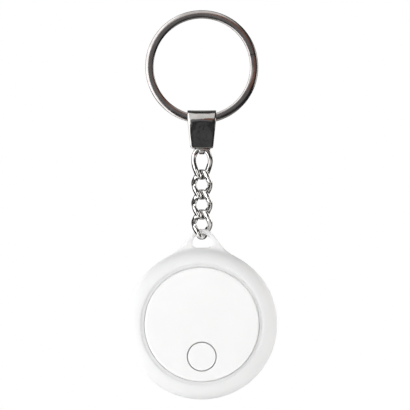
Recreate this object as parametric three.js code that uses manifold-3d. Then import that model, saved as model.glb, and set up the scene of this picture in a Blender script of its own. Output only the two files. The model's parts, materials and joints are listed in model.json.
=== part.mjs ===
// Bluetooth tracker tag: a round case that hangs from a flat split key ring by a folded strap and
// four twisted curb links.
// Millimetres. +Z is up, the face with the button looks along -Y, and the origin is the highest
// point of the key ring's inner edge, where the whole thing hangs.

import * as THREE from 'three';
import { mergeVertices } from 'three/addons/utils/BufferGeometryUtils.js';
import Module from 'manifold-3d';

const wasm = await Module();
wasm.setup();

// Clearances
const FIT = 0.05;

// Key ring: flat wire wound twice, with one step from the front coil to the back coil
const RING_OUTER = 15;
const RING_INNER = 12.8;
const COIL_THICKNESS = 0.74;
const COIL_GAP = 0.08;
const STEP_ANGLE = -10;
const STEP_HALF_WIDTH = 22;

// Strap: sheet metal folded over the lowest stretch of the ring, with an eye rolled at its foot
const STRAP_THICKNESS = 0.4;
const STRAP_LOOP_RADIUS = 1.92;
const STRAP_TOP_WIDTH = 7.65;
const STRAP_FOOT_WIDTH = 6;
const STRAP_SHOULDER_WIDTH = 4.5;
const TONGUE_WIDTH = 1.5;
const EYE_RADIUS = 0.95;
const STRAP_DROP = 8;
const STRAP_SHOULDER_DROP = 0.5;
const STRAP_FOOT_GAP = 0.35;

// Chain
const WIRE = 1.35;
const LINK_LENGTH = 8.05;
const LINK_WIDTH = 5.66;
const END_LINK_LENGTH = 8.75;
const END_LINK_WIDTH = 5.95;
const LINK_COUNT = 4;
const LINK_TWIST = 45;
const LAST_LINK_TWIST = 56;
const LINK_SQUARENESS = 2.3;

// Case
const CASE_RADIUS = 20;
const FRAME_CREST_RADIUS = 16.5;
const FRAME_CREST = 3.6;
const FRAME_LIP_RADIUS = 15.8;
const FRAME_GROOVE = 2.75;
const FRAME_BORE = 15.3;
const WEB_BORE = 13.5;
const WEB_HALF = 0.5;

// Lug on the frame
const LUG_THICKNESS = 1.2;
const LUG_EDGE = 0.55;
const LUG_TIP_RADIUS = 3.7;
const LUG_HOLE_WIDTH = 4.55;
const LUG_HOLE_TOP = 23.87;
const LUG_HOLE_BOTTOM = 20.3;
const LUG_HOLE_CORNER = 0.9;
const LUG_BRIDGE = 1.4;
const LUG_PLAY = 0.1;
const LUG_FLANK_ANGLE = 38;

// Front cover and button
const COVER_RADIUS = 15.15;
const COVER_FACE = -4.2;
const COVER_WALL = 1.1;
const SKIRT_INNER = 14.1;
const COVER_EDGE = 0.6;
const BUTTON_DROP = 8.5;
const BUTTON_RADIUS = 3.7;
const BUTTON_HOLE_RADIUS = 3.95;
const BUTTON_FLANGE_RADIUS = 4.6;
const BUTTON_FLANGE_THICKNESS = 0.55;
const BUTTON_NUB_RADIUS = 1.3;
const BUTTON_NUB = 0.25;
const BUTTON_PROUD = 0.02;
const BUTTON_TRAVEL = 0.3;

// Battery door
const DOOR_RADIUS = 15.1;
const DOOR_FACE = 4;
const DOOR_WALL = 0.8;
const DOOR_SKIRT_END = 1.45;
const TAB_COUNT = 3;
const TAB_ANGLE = 10;
const TAB_RADIUS = 15.7;
const TAB_FRONT = 1.6;
const TAB_BACK = 2.2;
const DOOR_TURN = 30;
const COIN_SLOT = { length: 13, width: 1.9, depth: 0.45 };

// Board, cell and tray
const BOARD_RADIUS = 13;
const BOARD_FRONT = -1.15;
const BOARD_BACK = -0.55;
const CELL_RADIUS = 10;
const CELL_HEIGHT = 3.2;
const CELL_FRONT = BOARD_BACK + 0.5;
const TRAY_INNER = 10.25;
const TRAY_OUTER = 12.9;
const TRAY_BACK = 2.6;
const TRAY_LEDGE = 1.4;
const SCREW_CIRCLE = 11.58;
const SCREW_ANGLES = [45, 135, 225, 315];
const SCREW_RADIUS = 0.6;
const SCREW_HEAD_RADIUS = 1;
const SCREW_HEAD_HEIGHT = 0.6;
const BOSS_RADIUS = 1.25;
const SOUNDER = { z: 4.6, plateRadius: 7, ceramicRadius: 4.8 };

// Facets: round a body, along the coiled wire, along a link and round its wire
const ROUND = 40;
const COIL_STEPS = 110;
const LINK_STEPS = 32;
const WIRE_SIDES = 8;

// Heights along the chain, from the ring's centre down to the case's centre
const RING_CENTRE = -RING_INNER;
const STRAP_PIVOT = RING_CENTRE - (RING_INNER + RING_OUTER) / 2 - 0.02;
const EYE_CENTRE = STRAP_PIVOT - STRAP_DROP;
const BAR_STEP = WIRE + FIT;
const linkTops = [EYE_CENTRE];
for (let i = 1; i < LINK_COUNT; i += 1) {
  const lengthAbove = i === 1 ? END_LINK_LENGTH : LINK_LENGTH;
  linkTops.push(linkTops[i - 1] - (lengthAbove - WIRE) + BAR_STEP);
}
const LAST_BAR = linkTops[LINK_COUNT - 1] - (LINK_LENGTH - WIRE);
const TAG_CENTRE = LAST_BAR + WIRE / 2 + LUG_PLAY - LUG_HOLE_TOP;

const radians = THREE.MathUtils.degToRad;

// Finishes
const finish = (color, roughness, metalness = 0) => (
  new THREE.MeshStandardMaterial({ color, roughness, metalness })
);
const steel = () => finish(0x9a9795, 0.12, 1);
const spring = () => finish(0xc9b28a, 0.35, 1);
const whitePlastic = () => finish(0xf4f4f5, 0.35);
const blackResin = () => finish(0x1b1b1d, 0.5);

function frosted() {
  const material = finish(0xeef0f2, 0.45);
  material.transparent = true;
  material.opacity = 0.8;
  return material;
}

// A closed geometry as a solid for joining and cutting, turned outside out if it is inside out
function solid(geometry) {
  const bare = geometry.clone();
  bare.deleteAttribute('normal');
  bare.deleteAttribute('uv');
  const merged = mergeVertices(bare, 1e-4);
  const points = merged.attributes.position;
  const corners = Uint32Array.from(merged.index.array);
  const [a, b, c] = [0, 1, 2].map(() => new THREE.Vector3());
  let volume = 0;
  for (let i = 0; i < corners.length; i += 3) {
    a.fromBufferAttribute(points, corners[i]);
    b.fromBufferAttribute(points, corners[i + 1]);
    c.fromBufferAttribute(points, corners[i + 2]);
    volume += a.dot(b.cross(c));
  }
  if (volume < 0) {
    corners.reverse();
  }
  const vertProperties = Float32Array.from(points.array);
  return new wasm.Manifold(new wasm.Mesh({ numProp: 3, vertProperties, triVerts: corners }));
}

const join = (...solids) => solids.reduce((whole, next) => whole.add(next));
const cut = (body, ...tools) => tools.reduce((rest, tool) => rest.subtract(tool), body);

function part(name, body, material) {
  const { vertProperties, triVerts } = body.getMesh();
  const geometry = new THREE.BufferGeometry();
  geometry.setAttribute('position', new THREE.BufferAttribute(vertProperties, 3));
  geometry.setIndex(new THREE.BufferAttribute(triVerts, 1));
  geometry.computeVertexNormals();
  const mesh = new THREE.Mesh(geometry, material);
  mesh.name = name;
  return mesh;
}

// Points of an ellipse's arc, as radius and depth, or as any other pair
function arc(x, y, radiusX, radiusY, fromDegrees, toDegrees, steps) {
  return Array.from({ length: steps + 1 }, (_, i) => {
    const angle = radians(THREE.MathUtils.lerp(fromDegrees, toDegrees, i / steps));
    return new THREE.Vector2(x + radiusX * Math.cos(angle), y + radiusY * Math.sin(angle));
  });
}

const pairs = (...values) => values.map(([x, y]) => new THREE.Vector2(x, y));

// A body of revolution about the Y axis from radius and depth pairs
const turned = (profile, segments = ROUND) => solid(new THREE.LatheGeometry(profile, segments));

const ringOf = (inner, outer, front, back, segments = ROUND) => turned(
  pairs([inner, front], [outer, front], [outer, back], [inner, back], [inner, front]),
  segments,
);

function disc(radius, front, back, x = 0, z = 0, segments = 32) {
  const geometry = new THREE.CylinderGeometry(radius, radius, back - front, segments);
  return solid(geometry.translate(x, (front + back) / 2, z));
}

function block(x0, x1, y0, y1, z0, z1) {
  const geometry = new THREE.BoxGeometry(x1 - x0, y1 - y0, z1 - z0);
  return solid(geometry.translate((x0 + x1) / 2, (y0 + y1) / 2, (z0 + z1) / 2));
}

// A block given by its middle in X and Z, its width and its height
const chip = (x, z, width, height, front, back) => (
  block(x - width / 2, x + width / 2, front, back, z - height / 2, z + height / 2)
);

// A shape drawn in X and Z, as deep as given along Y
function plate(shape, front, back, options = {}) {
  const { bevel = 0, curveSegments = 12 } = options;
  const geometry = new THREE.ExtrudeGeometry(shape, {
    depth: back - front - 2 * bevel,
    bevelEnabled: bevel > 0,
    bevelThickness: bevel,
    bevelSize: bevel,
    bevelOffset: -bevel,
    bevelSegments: 1,
    curveSegments,
  });
  return solid(geometry.rotateX(Math.PI / 2).translate(0, back - bevel, 0));
}

// A bent strip: a centre line of points, thickened to both sides and extruded
function stripGeometry(line, thickness, width) {
  const last = line.length - 1;
  const sides = line.map((point, i) => {
    const along = line[Math.min(i + 1, last)].clone().sub(line[Math.max(i - 1, 0)]).normalize();
    const across = new THREE.Vector2(-along.y, along.x).multiplyScalar(thickness / 2);
    return [point.clone().add(across), point.clone().sub(across)];
  });
  const outline = [...sides.map(([left]) => left), ...sides.map(([, right]) => right).reverse()];
  const geometry = new THREE.ExtrudeGeometry(new THREE.Shape(outline), {
    depth: width,
    bevelEnabled: false,
  });
  return geometry.translate(0, 0, -width / 2);
}

// Takes a strip drawn in Y and Z, and lays its width along X
const alongX = (geometry) => geometry.applyMatrix4(new THREE.Matrix4().makeBasis(
  new THREE.Vector3(0, 1, 0),
  new THREE.Vector3(0, 0, 1),
  new THREE.Vector3(1, 0, 0),
));

// Where a screw stands, on the screw circle
const onScrewCircle = (degrees) => [
  SCREW_CIRCLE * Math.cos(radians(degrees)),
  SCREW_CIRCLE * Math.sin(radians(degrees)),
];

function splitRing() {
  const turn = 720 - 2 * STEP_HALF_WIDTH - 2;
  const start = STEP_ANGLE + STEP_HALF_WIDTH + 1;
  const side = (COIL_THICKNESS + COIL_GAP) / 2;
  const middle = (RING_INNER + RING_OUTER) / 2;
  const wire = new THREE.BoxGeometry(1, COIL_THICKNESS, RING_OUTER - RING_INNER, COIL_STEPS);
  const points = wire.attributes.position;
  for (let i = 0; i < points.count; i += 1) {
    const degrees = start + (points.getX(i) + 0.5) * turn;
    const stepStart = STEP_ANGLE - STEP_HALF_WIDTH + 360;
    const stepEnd = STEP_ANGLE + STEP_HALF_WIDTH + 360;
    const crossed = THREE.MathUtils.smoothstep(degrees, stepStart, stepEnd);
    const radius = middle + points.getZ(i);
    const depth = points.getY(i) + THREE.MathUtils.lerp(-side, side, crossed);
    points.setXYZ(
      i,
      radius * Math.cos(radians(degrees)),
      depth,
      RING_CENTRE + radius * Math.sin(radians(degrees)),
    );
  }
  return part('split_ring', solid(wire), steel());
}

// The strap as one strip in Y and Z: up the front leg, round the ring, down the back leg and
// forwards round the first link's bar
function bailStrap() {
  const half = STRAP_THICKNESS / 2;
  const loop = STRAP_LOOP_RADIUS + half;
  const eye = EYE_RADIUS + half;
  const lean = THREE.MathUtils.radToDeg(Math.asin((loop - eye) / STRAP_DROP));
  const frontFoot = new THREE.Vector2(-eye, EYE_CENTRE + STRAP_FOOT_GAP);
  const line = [
    frontFoot,
    ...arc(0, STRAP_PIVOT, loop, loop, 180 + lean, -lean, 18),
    ...arc(0, EYE_CENTRE, eye, eye, -lean, -172, 14),
  ];
  const strip = solid(alongX(stripGeometry(line, STRAP_THICKNESS, STRAP_TOP_WIDTH)));
  const top = STRAP_PIVOT + STRAP_LOOP_RADIUS + STRAP_THICKNESS + 1;
  const foot = EYE_CENTRE + STRAP_FOOT_GAP;
  const belowFoot = foot - 0.01;
  const shoulder = EYE_CENTRE - STRAP_SHOULDER_DROP;
  const outline = new THREE.Shape(pairs(
    [-STRAP_TOP_WIDTH / 2, top],
    [-STRAP_TOP_WIDTH / 2, STRAP_PIVOT],
    [-STRAP_FOOT_WIDTH / 2, belowFoot],
    [-STRAP_SHOULDER_WIDTH / 2, belowFoot],
    [-STRAP_SHOULDER_WIDTH / 2, shoulder],
    [-TONGUE_WIDTH / 2, shoulder],
    [-TONGUE_WIDTH / 2, EYE_CENTRE - 3],
    [TONGUE_WIDTH / 2, EYE_CENTRE - 3],
    [TONGUE_WIDTH / 2, shoulder],
    [STRAP_SHOULDER_WIDTH / 2, shoulder],
    [STRAP_SHOULDER_WIDTH / 2, belowFoot],
    [STRAP_FOOT_WIDTH / 2, belowFoot],
    [STRAP_TOP_WIDTH / 2, STRAP_PIVOT],
    [STRAP_TOP_WIDTH / 2, top],
  ));
  const shaped = strip.intersect(plate(outline, -5, 5));
  const besideTongue = [-1, 1].map((side) => {
    const middle = side * (TONGUE_WIDTH / 2 + 5);
    return block(middle - 5, middle + 5, -5, eye - half - FIT, EYE_CENTRE - 3, belowFoot - 0.01);
  });
  return part('bail_strap', cut(shaped, ...besideTongue), steel());
}

// The centre line of a curb link: an oval that is twisted about Z from its top to its bottom
class LinkCurve extends THREE.Curve {
  constructor(length, width, twistTop, twistBottom) {
    super();
    this.halfHeight = (length - WIRE) / 2;
    this.halfWidth = (width - WIRE) / 2;
    this.twistTop = twistTop;
    this.twistBottom = twistBottom;
  }

  getPoint(t, target = new THREE.Vector3()) {
    const cosine = Math.cos(2 * Math.PI * t);
    const sine = Math.sin(2 * Math.PI * t);
    const bend = 2 / LINK_SQUARENESS;
    const across = this.halfWidth * Math.sign(cosine) * Math.abs(cosine) ** bend;
    const up = Math.sign(sine) * Math.abs(sine) ** bend;
    const risen = THREE.MathUtils.smootherstep(up, -1, 1);
    const twist = THREE.MathUtils.lerp(this.twistBottom, this.twistTop, risen);
    return target.set(
      across * Math.cos(radians(twist)),
      across * Math.sin(radians(twist)),
      (up - 1) * this.halfHeight,
    );
  }
}

function chainLinks() {
  return linkTops.map((top, i) => {
    const isFirst = i === 0;
    const curve = new LinkCurve(
      isFirst ? END_LINK_LENGTH : LINK_LENGTH,
      isFirst ? END_LINK_WIDTH : LINK_WIDTH,
      isFirst ? 0 : -LINK_TWIST,
      i === LINK_COUNT - 1 ? LAST_LINK_TWIST : LINK_TWIST,
    );
    const geometry = new THREE.TubeGeometry(curve, LINK_STEPS, WIRE / 2, WIRE_SIDES, true);
    const link = part(`chain_link_${i + 1}`, solid(geometry), finish(0xd9d8d6, 0.1, 1));
    link.position.z = top;
    return link;
  });
}

// A bent sector about the Y axis, between two radii and two depths
function sector(inner, outer, front, back, degrees, spread) {
  const shape = new THREE.Shape();
  const from = radians(degrees - spread / 2);
  const to = radians(degrees + spread / 2);
  shape.absarc(0, 0, outer, from, to, false);
  shape.absarc(0, 0, inner, to, from, true);
  return plate(shape, front, back, { curveSegments: 6 });
}

const tabAngles = Array.from({ length: TAB_COUNT }, (_, i) => 90 + (i * 360) / TAB_COUNT);

// Seen from the front, an unlocking door turns towards smaller angles
const slotAngles = tabAngles.map((degrees) => degrees - DOOR_TURN);

function lugOutline() {
  const tip = LUG_HOLE_TOP + LUG_BRIDGE - LUG_TIP_RADIUS;
  const flank = radians(LUG_FLANK_ANGLE);
  const outline = new THREE.Shape();
  const root = 17.4;
  const tangentX = LUG_TIP_RADIUS * Math.cos(flank);
  const tangentZ = tip + LUG_TIP_RADIUS * Math.sin(flank);
  const rootX = tangentX + (tangentZ - root) * Math.tan(flank);
  outline.moveTo(-rootX, root);
  outline.lineTo(rootX, root);
  outline.lineTo(tangentX, tangentZ);
  outline.absarc(0, tip, LUG_TIP_RADIUS, flank, Math.PI - flank, false);
  outline.lineTo(-rootX, root);
  outline.holes.push(lugHole());
  return outline;
}

function lugHole() {
  const half = LUG_HOLE_WIDTH / 2;
  const corner = LUG_HOLE_CORNER;
  const hole = new THREE.Path();
  hole.moveTo(-half + corner, LUG_HOLE_BOTTOM);
  hole.lineTo(half - corner, LUG_HOLE_BOTTOM);
  hole.absarc(half - corner, LUG_HOLE_BOTTOM + corner, corner, -Math.PI / 2, 0, false);
  hole.absarc(0, LUG_HOLE_TOP - half, half, 0, Math.PI, false);
  hole.absarc(-half + corner, LUG_HOLE_BOTTOM + corner, corner, Math.PI, 1.5 * Math.PI, false);
  return hole;
}

// The frosted ring of the case, one piece with its lug
function caseFrame() {
  const lipWidth = FRAME_CREST_RADIUS - FRAME_LIP_RADIUS;
  const lipRise = FRAME_CREST - FRAME_GROOVE;
  const crestReach = CASE_RADIUS - FRAME_CREST_RADIUS;
  const half = [
    ...pairs([FRAME_BORE, FRAME_GROOVE]),
    ...arc(FRAME_CREST_RADIUS, FRAME_GROOVE, lipWidth, lipRise, 180, 90, 2),
    ...arc(FRAME_CREST_RADIUS, 0, crestReach, FRAME_CREST, 75, 0, 5),
  ];
  const mirrored = half.slice(0, -1).reverse().map(({ x, y }) => new THREE.Vector2(x, -y));
  const profile = [
    ...pairs([WEB_BORE, -WEB_HALF], [WEB_BORE, WEB_HALF], [FRAME_BORE, WEB_HALF]),
    ...half,
    ...mirrored,
    ...pairs([FRAME_BORE, -WEB_HALF], [WEB_BORE, -WEB_HALF]),
  ];
  const lug = plate(lugOutline(), -LUG_THICKNESS / 2, LUG_THICKNESS / 2, { bevel: LUG_EDGE });
  const tabGroove = ringOf(FRAME_BORE - 0.5, TAB_RADIUS + 0.2, TAB_FRONT - 0.1, TAB_BACK + 0.1);
  const slots = slotAngles.map((degrees) => (
    sector(FRAME_BORE - 0.5, TAB_RADIUS + 0.2, TAB_BACK, DOOR_FACE, degrees, TAB_ANGLE + 4)
  ));
  const ring = cut(turned(profile, 72), tabGroove, ...slots);
  return part('case_frame', join(ring, lug), frosted());
}

// The pillow-shaped front disc, with its skirt, the button hole and four screw bosses
function frontCover() {
  const inner = COVER_FACE + COVER_WALL;
  const skirtEnd = -WEB_HALF - FIT;
  const profile = [
    ...pairs([0, inner], [SKIRT_INNER, inner], [SKIRT_INNER, skirtEnd], [COVER_RADIUS, skirtEnd]),
    ...arc(COVER_RADIUS - COVER_EDGE, COVER_FACE + COVER_EDGE, COVER_EDGE, COVER_EDGE, 0, -90, 3),
    ...pairs([0, COVER_FACE]),
  ];
  const shell = cut(
    turned(profile, 56),
    disc(BUTTON_HOLE_RADIUS, COVER_FACE - 1, inner + 1, 0, -BUTTON_DROP, 40),
  );
  const bossEnd = BOARD_FRONT - FIT;
  const places = SCREW_ANGLES.map(onScrewCircle);
  const bosses = places.map(([x, z]) => disc(BOSS_RADIUS, inner - 0.5, bossEnd, x, z, 20));
  const pilots = places.map(([x, z]) => (
    disc(SCREW_RADIUS + FIT, inner + 0.1, bossEnd + 1, x, z, 16)
  ));
  return part('front_cover', cut(join(shell, ...bosses), ...pilots), whitePlastic());
}

function buttonCap() {
  const face = COVER_FACE - BUTTON_PROUD;
  const edge = 0.25;
  const flangeFront = COVER_FACE + COVER_WALL + FIT;
  const flangeBack = flangeFront + BUTTON_FLANGE_THICKNESS;
  const nubBack = flangeBack + BUTTON_NUB;
  const profile = [
    ...pairs([0, face], [BUTTON_RADIUS - edge, face], [BUTTON_RADIUS, face + edge]),
    ...pairs([BUTTON_RADIUS, flangeFront], [BUTTON_FLANGE_RADIUS, flangeFront]),
    ...pairs([BUTTON_FLANGE_RADIUS, flangeBack], [BUTTON_NUB_RADIUS, flangeBack]),
    ...pairs([BUTTON_NUB_RADIUS, nubBack], [0, nubBack]),
  ];
  const cap = part('button_cap', turned(profile, 40), whitePlastic());
  cap.position.z = -BUTTON_DROP;
  return cap;
}

// The tact switch: a square can with a well, and the plunger that the button pushes down it
function tactSwitch() {
  const plungerRadius = 0.9;
  const canFront = BOARD_FRONT - FIT - 0.65;
  const flangeFront = COVER_FACE + COVER_WALL + FIT;
  const plungerFront = flangeFront + BUTTON_FLANGE_THICKNESS + BUTTON_NUB + FIT;
  const can = cut(
    chip(0, 0, 5.2, 5.2, canFront, BOARD_FRONT - FIT),
    disc(plungerRadius + 0.1, canFront - 1, BOARD_FRONT + 1, 0, 0, 24),
  );
  const plungerBack = BOARD_FRONT - FIT - BUTTON_TRAVEL - FIT;
  const plunger = disc(plungerRadius, plungerFront, plungerBack, 0, 0, 24);
  const parts = [
    part('switch_body', can, finish(0xb9bcc0, 0.35, 1)),
    part('switch_plunger', plunger, finish(0x2a2a2c, 0.6)),
  ];
  parts.forEach((piece) => {
    piece.position.z = -BUTTON_DROP;
  });
  return parts;
}

// The door is a shallow cup that turns in the frame's back bore and locks there by its tabs
function batteryDoor() {
  const inner = DOOR_FACE - DOOR_WALL;
  const profile = [
    ...pairs([0, DOOR_FACE]),
    ...arc(DOOR_RADIUS - COVER_EDGE, DOOR_FACE - COVER_EDGE, COVER_EDGE, COVER_EDGE, 90, 0, 3),
    ...pairs([DOOR_RADIUS, DOOR_SKIRT_END], [SKIRT_INNER, DOOR_SKIRT_END]),
    ...pairs([SKIRT_INNER, inner], [0, inner]),
  ];
  const tabs = tabAngles.map((degrees) => (
    sector(SKIRT_INNER + 0.4, TAB_RADIUS, TAB_FRONT, TAB_BACK, degrees, TAB_ANGLE)
  ));
  const { length, width, depth } = COIN_SLOT;
  const slot = chip(0, 0, length, width, DOOR_FACE - depth, DOOR_FACE + 1);
  return part('battery_door', cut(join(turned(profile, 56), ...tabs), slot), whitePlastic());
}

function doorSeal() {
  const section = 0.4;
  const middle = (WEB_HALF + DOOR_SKIRT_END) / 2;
  const geometry = new THREE.TorusGeometry((SKIRT_INNER + DOOR_RADIUS) / 2, section, 6, 40);
  const seal = solid(geometry.rotateX(Math.PI / 2).translate(0, middle, 0));
  return part('door_seal', seal, finish(0x2c2c30, 0.8));
}

function circuitBoard() {
  const holes = SCREW_ANGLES.map(onScrewCircle).map(([x, z]) => (
    disc(SCREW_RADIUS + 0.15, BOARD_FRONT - 1, BOARD_BACK + 1, x, z, 16)
  ));
  const board = cut(disc(BOARD_RADIUS, BOARD_FRONT, BOARD_BACK, 0, 0, 64), ...holes);
  return part('circuit_board', board, finish(0x1f5a3a, 0.5));
}

// What is soldered to the front of the board: middle, size and height of each
function boardComponents() {
  const components = [
    { name: 'radio_chip', x: 0, z: 1, width: 5, height: 5, rise: 0.85, material: blackResin() },
    { name: 'crystal', x: 4.9, z: 1, width: 2.5, height: 2, rise: 0.6, material: steel() },
    { name: 'chip_antenna', x: 0, z: 10.9, width: 7, height: 2, rise: 1, material: blackResin() },
    { name: 'status_led', x: -11.4, z: 0, width: 0.8, height: 1.6, rise: 0.6,
      material: finish(0xf3edd2, 0.3) },
    { name: 'buzzer_inductor', x: -5.6, z: 0, width: 3, height: 3, rise: 1.1,
      material: blackResin() },
    ...[0, 1, 2].map((i) => ({
      name: `decoupling_capacitor_${i + 1}`, x: 4.4 + 1.6 * i, z: -2.4, width: 0.6, height: 1.1,
      rise: 0.5, material: finish(0xb08d64, 0.5),
    })),
  ];
  const back = BOARD_FRONT - FIT;
  return components.map(({ name, x, z, width, height, rise, material }) => (
    part(name, chip(x, z, width, height, back - rise, back), material)
  ));
}

function coinCell() {
  const back = CELL_FRONT + CELL_HEIGHT;
  const profile = [
    ...pairs([0, CELL_FRONT], [8.7, CELL_FRONT], [8.9, CELL_FRONT + 0.25]),
    ...pairs([9.5, CELL_FRONT + 0.3], [CELL_RADIUS, CELL_FRONT + 0.7]),
    ...arc(CELL_RADIUS - 0.4, back - 0.4, 0.4, 0.4, 0, 90, 3),
    ...pairs([0, back]),
  ];
  return part('coin_cell', turned(profile), steel());
}

// The tray rings the cell, with a notch over each screw head and a gap for the side contact
function batteryTray() {
  const front = BOARD_BACK + FIT;
  const places = SCREW_ANGLES.map(onScrewCircle);
  const notches = places.map(([x, z]) => disc(1.6, TRAY_LEDGE, TRAY_BACK + 1, x, z, 20));
  const holes = places.map(([x, z]) => disc(SCREW_RADIUS + 0.2, front - 1, TRAY_BACK, x, z, 16));
  const contactGap = block(9, 14, front + 0.6, TRAY_BACK + 1, -1.7, 1.7);
  const contactFoot = block(10, 14, front - 1, front + 1, -1.7, 1.7);
  const wall = ringOf(TRAY_INNER, TRAY_OUTER, front, TRAY_BACK);
  const tray = cut(wall, ...notches, ...holes, contactGap, contactFoot);
  return part('battery_tray', tray, finish(0x3a3b3f, 0.6));
}

// Three sprung fingers under the cell: a star whose tips rise towards the cell
function negativeContact() {
  const fingers = 3;
  const hub = 2;
  const reach = 7;
  const outline = Array.from({ length: fingers }, (_, i) => {
    const middle = 90 + (i * 360) / fingers;
    const at = (radius, offset) => new THREE.Vector2(
      radius * Math.cos(radians(middle + offset)),
      radius * Math.sin(radians(middle + offset)),
    );
    return [at(hub, -30), at(reach, -8), at(reach, 8), at(hub, 30)];
  }).flat();
  const front = BOARD_BACK + FIT;
  const sheet = 0.15;
  const geometry = new THREE.ExtrudeGeometry(new THREE.Shape(outline), {
    depth: sheet,
    bevelEnabled: false,
  });
  geometry.rotateX(Math.PI / 2).translate(0, front + sheet, 0);
  const points = geometry.attributes.position;
  const rise = CELL_FRONT - FIT - sheet - front;
  for (let i = 0; i < points.count; i += 1) {
    const out = Math.hypot(points.getX(i), points.getZ(i));
    if (out > (hub + reach) / 2) {
      points.setY(i, points.getY(i) + rise);
    }
  }
  return part('battery_contact_negative', solid(geometry), spring());
}

// A leaf that stands on the board beside the cell and leans in against its can
function positiveContact() {
  const front = BOARD_BACK + FIT + 0.1;
  const line = pairs(
    [12.4, front],
    [11.6, front],
    [11.3, front + 0.3],
    [11.3, 2],
    [11.1, 2.25],
    [10.85, 2.1],
    [10.35, 1],
    [10.2, 0.75],
  );
  const leaf = solid(stripGeometry(line, 0.18, 2.4));
  return part('battery_contact_positive', leaf, spring());
}

function trayScrews() {
  return SCREW_ANGLES.map((degrees, i) => {
    const [x, z] = onScrewCircle(degrees);
    const seat = TRAY_LEDGE + FIT;
    const head = disc(SCREW_HEAD_RADIUS, seat, seat + SCREW_HEAD_HEIGHT, 0, 0, 20);
    const shank = disc(SCREW_RADIUS, COVER_FACE + COVER_WALL + 0.4, seat + 0.1, 0, 0, 16);
    const back = seat + SCREW_HEAD_HEIGHT;
    const recess = [0, 90].map((turn) => {
      const bar = new THREE.BoxGeometry(1.2, 0.5, 0.3);
      return solid(bar.rotateY(radians(turn)).translate(0, back, 0));
    });
    const screw = part(`tray_screw_${i + 1}`, cut(join(head, shank), ...recess), steel());
    screw.position.set(x, 0, z);
    return screw;
  });
}

// The piezo sounder: a brass disc behind the front cover, its ceramic, and two leaf contacts
function sounder() {
  const plateFront = COVER_FACE + COVER_WALL + FIT;
  const ceramicFront = plateFront + 0.25;
  const { z, plateRadius, ceramicRadius } = SOUNDER;
  const leaf = (name, x, height, tip) => {
    const foot = BOARD_FRONT - FIT - 0.08;
    const line = pairs([x + 1, foot], [x - 0.6, foot], [x + 0.8, (foot + tip) / 2], [x - 0.6, tip]);
    const strip = solid(stripGeometry(line, 0.12, 1).translate(0, 0, height));
    return part(name, strip, spring());
  };
  return [
    part('buzzer_plate', disc(plateRadius, plateFront, plateFront + 0.2, 0, z, 48), spring()),
    part('buzzer_ceramic', disc(ceramicRadius, ceramicFront, ceramicFront + 0.2, 0, z, 40),
      finish(0xe9e4d6, 0.6)),
    leaf('buzzer_spring_1', 1.5, 6, ceramicFront + 0.2 + 0.12),
    leaf('buzzer_spring_2', -5.8, 5.4, plateFront + 0.2 + 0.12),
  ];
}

function tag() {
  const group = new THREE.Group();
  group.add(
    caseFrame(),
    frontCover(),
    buttonCap(),
    batteryDoor(),
    doorSeal(),
    circuitBoard(),
    ...boardComponents(),
    ...tactSwitch(),
    coinCell(),
    batteryTray(),
    negativeContact(),
    positiveContact(),
    ...trayScrews(),
    ...sounder(),
  );
  group.position.z = TAG_CENTRE;
  return group;
}

const object = new THREE.Group();
object.add(splitRing(), bailStrap(), ...chainLinks(), tag());

export default object;
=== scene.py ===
import json
import math

import bpy
import numpy as np
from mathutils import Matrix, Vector

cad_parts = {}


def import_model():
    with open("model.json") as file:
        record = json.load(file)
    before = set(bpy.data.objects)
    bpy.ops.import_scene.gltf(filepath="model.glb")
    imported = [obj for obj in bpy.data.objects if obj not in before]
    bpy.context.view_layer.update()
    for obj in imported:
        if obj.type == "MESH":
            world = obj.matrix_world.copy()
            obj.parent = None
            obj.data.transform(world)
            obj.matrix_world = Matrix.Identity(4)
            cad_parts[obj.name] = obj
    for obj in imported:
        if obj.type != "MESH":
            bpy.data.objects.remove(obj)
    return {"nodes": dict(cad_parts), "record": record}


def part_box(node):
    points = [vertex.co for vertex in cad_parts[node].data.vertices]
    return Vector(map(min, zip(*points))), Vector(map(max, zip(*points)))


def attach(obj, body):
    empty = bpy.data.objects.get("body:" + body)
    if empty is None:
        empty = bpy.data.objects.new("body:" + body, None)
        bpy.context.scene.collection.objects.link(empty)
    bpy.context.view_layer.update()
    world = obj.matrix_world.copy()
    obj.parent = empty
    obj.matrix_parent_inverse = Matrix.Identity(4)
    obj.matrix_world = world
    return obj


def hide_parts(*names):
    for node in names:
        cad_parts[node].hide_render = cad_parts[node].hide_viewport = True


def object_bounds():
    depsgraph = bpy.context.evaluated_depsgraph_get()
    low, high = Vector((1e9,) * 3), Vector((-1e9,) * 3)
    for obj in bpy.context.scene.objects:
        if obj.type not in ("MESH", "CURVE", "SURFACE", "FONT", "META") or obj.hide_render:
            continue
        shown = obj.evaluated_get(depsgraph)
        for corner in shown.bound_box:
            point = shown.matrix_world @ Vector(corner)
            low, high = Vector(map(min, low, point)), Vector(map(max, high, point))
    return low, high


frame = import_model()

# The visual model of a round tracker tag on a key ring. Shapes are worked out in millimetres in
# the frame's axes, +Z up and the face with the button towards -Y, and scaled to metres as each
# mesh is made.
cad_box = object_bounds()
MM = 0.001


def box_mm(node):
    """A CAD node's lowest and highest corners in millimetres."""
    low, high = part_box(node)
    return np.array(low) / MM, np.array(high) / MM


# Places read from the frame
RING_TOP = box_mm("split_ring")[1][2]
STRAP_TOP = box_mm("bail_strap")[1][2]
CASE_LOW, CASE_HIGH = box_mm("case_frame")
COVER_LOW, COVER_HIGH = box_mm("front_cover")
BUTTON_LOW, BUTTON_HIGH = box_mm("button_cap")
DOOR_FACE = box_mm("battery_door")[1][1]
COVER_FACE = COVER_LOW[1]
TAG_Z = (COVER_LOW[2] + COVER_HIGH[2]) / 2
BUTTON_Z = (BUTTON_LOW[2] + BUTTON_HIGH[2]) / 2

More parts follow.
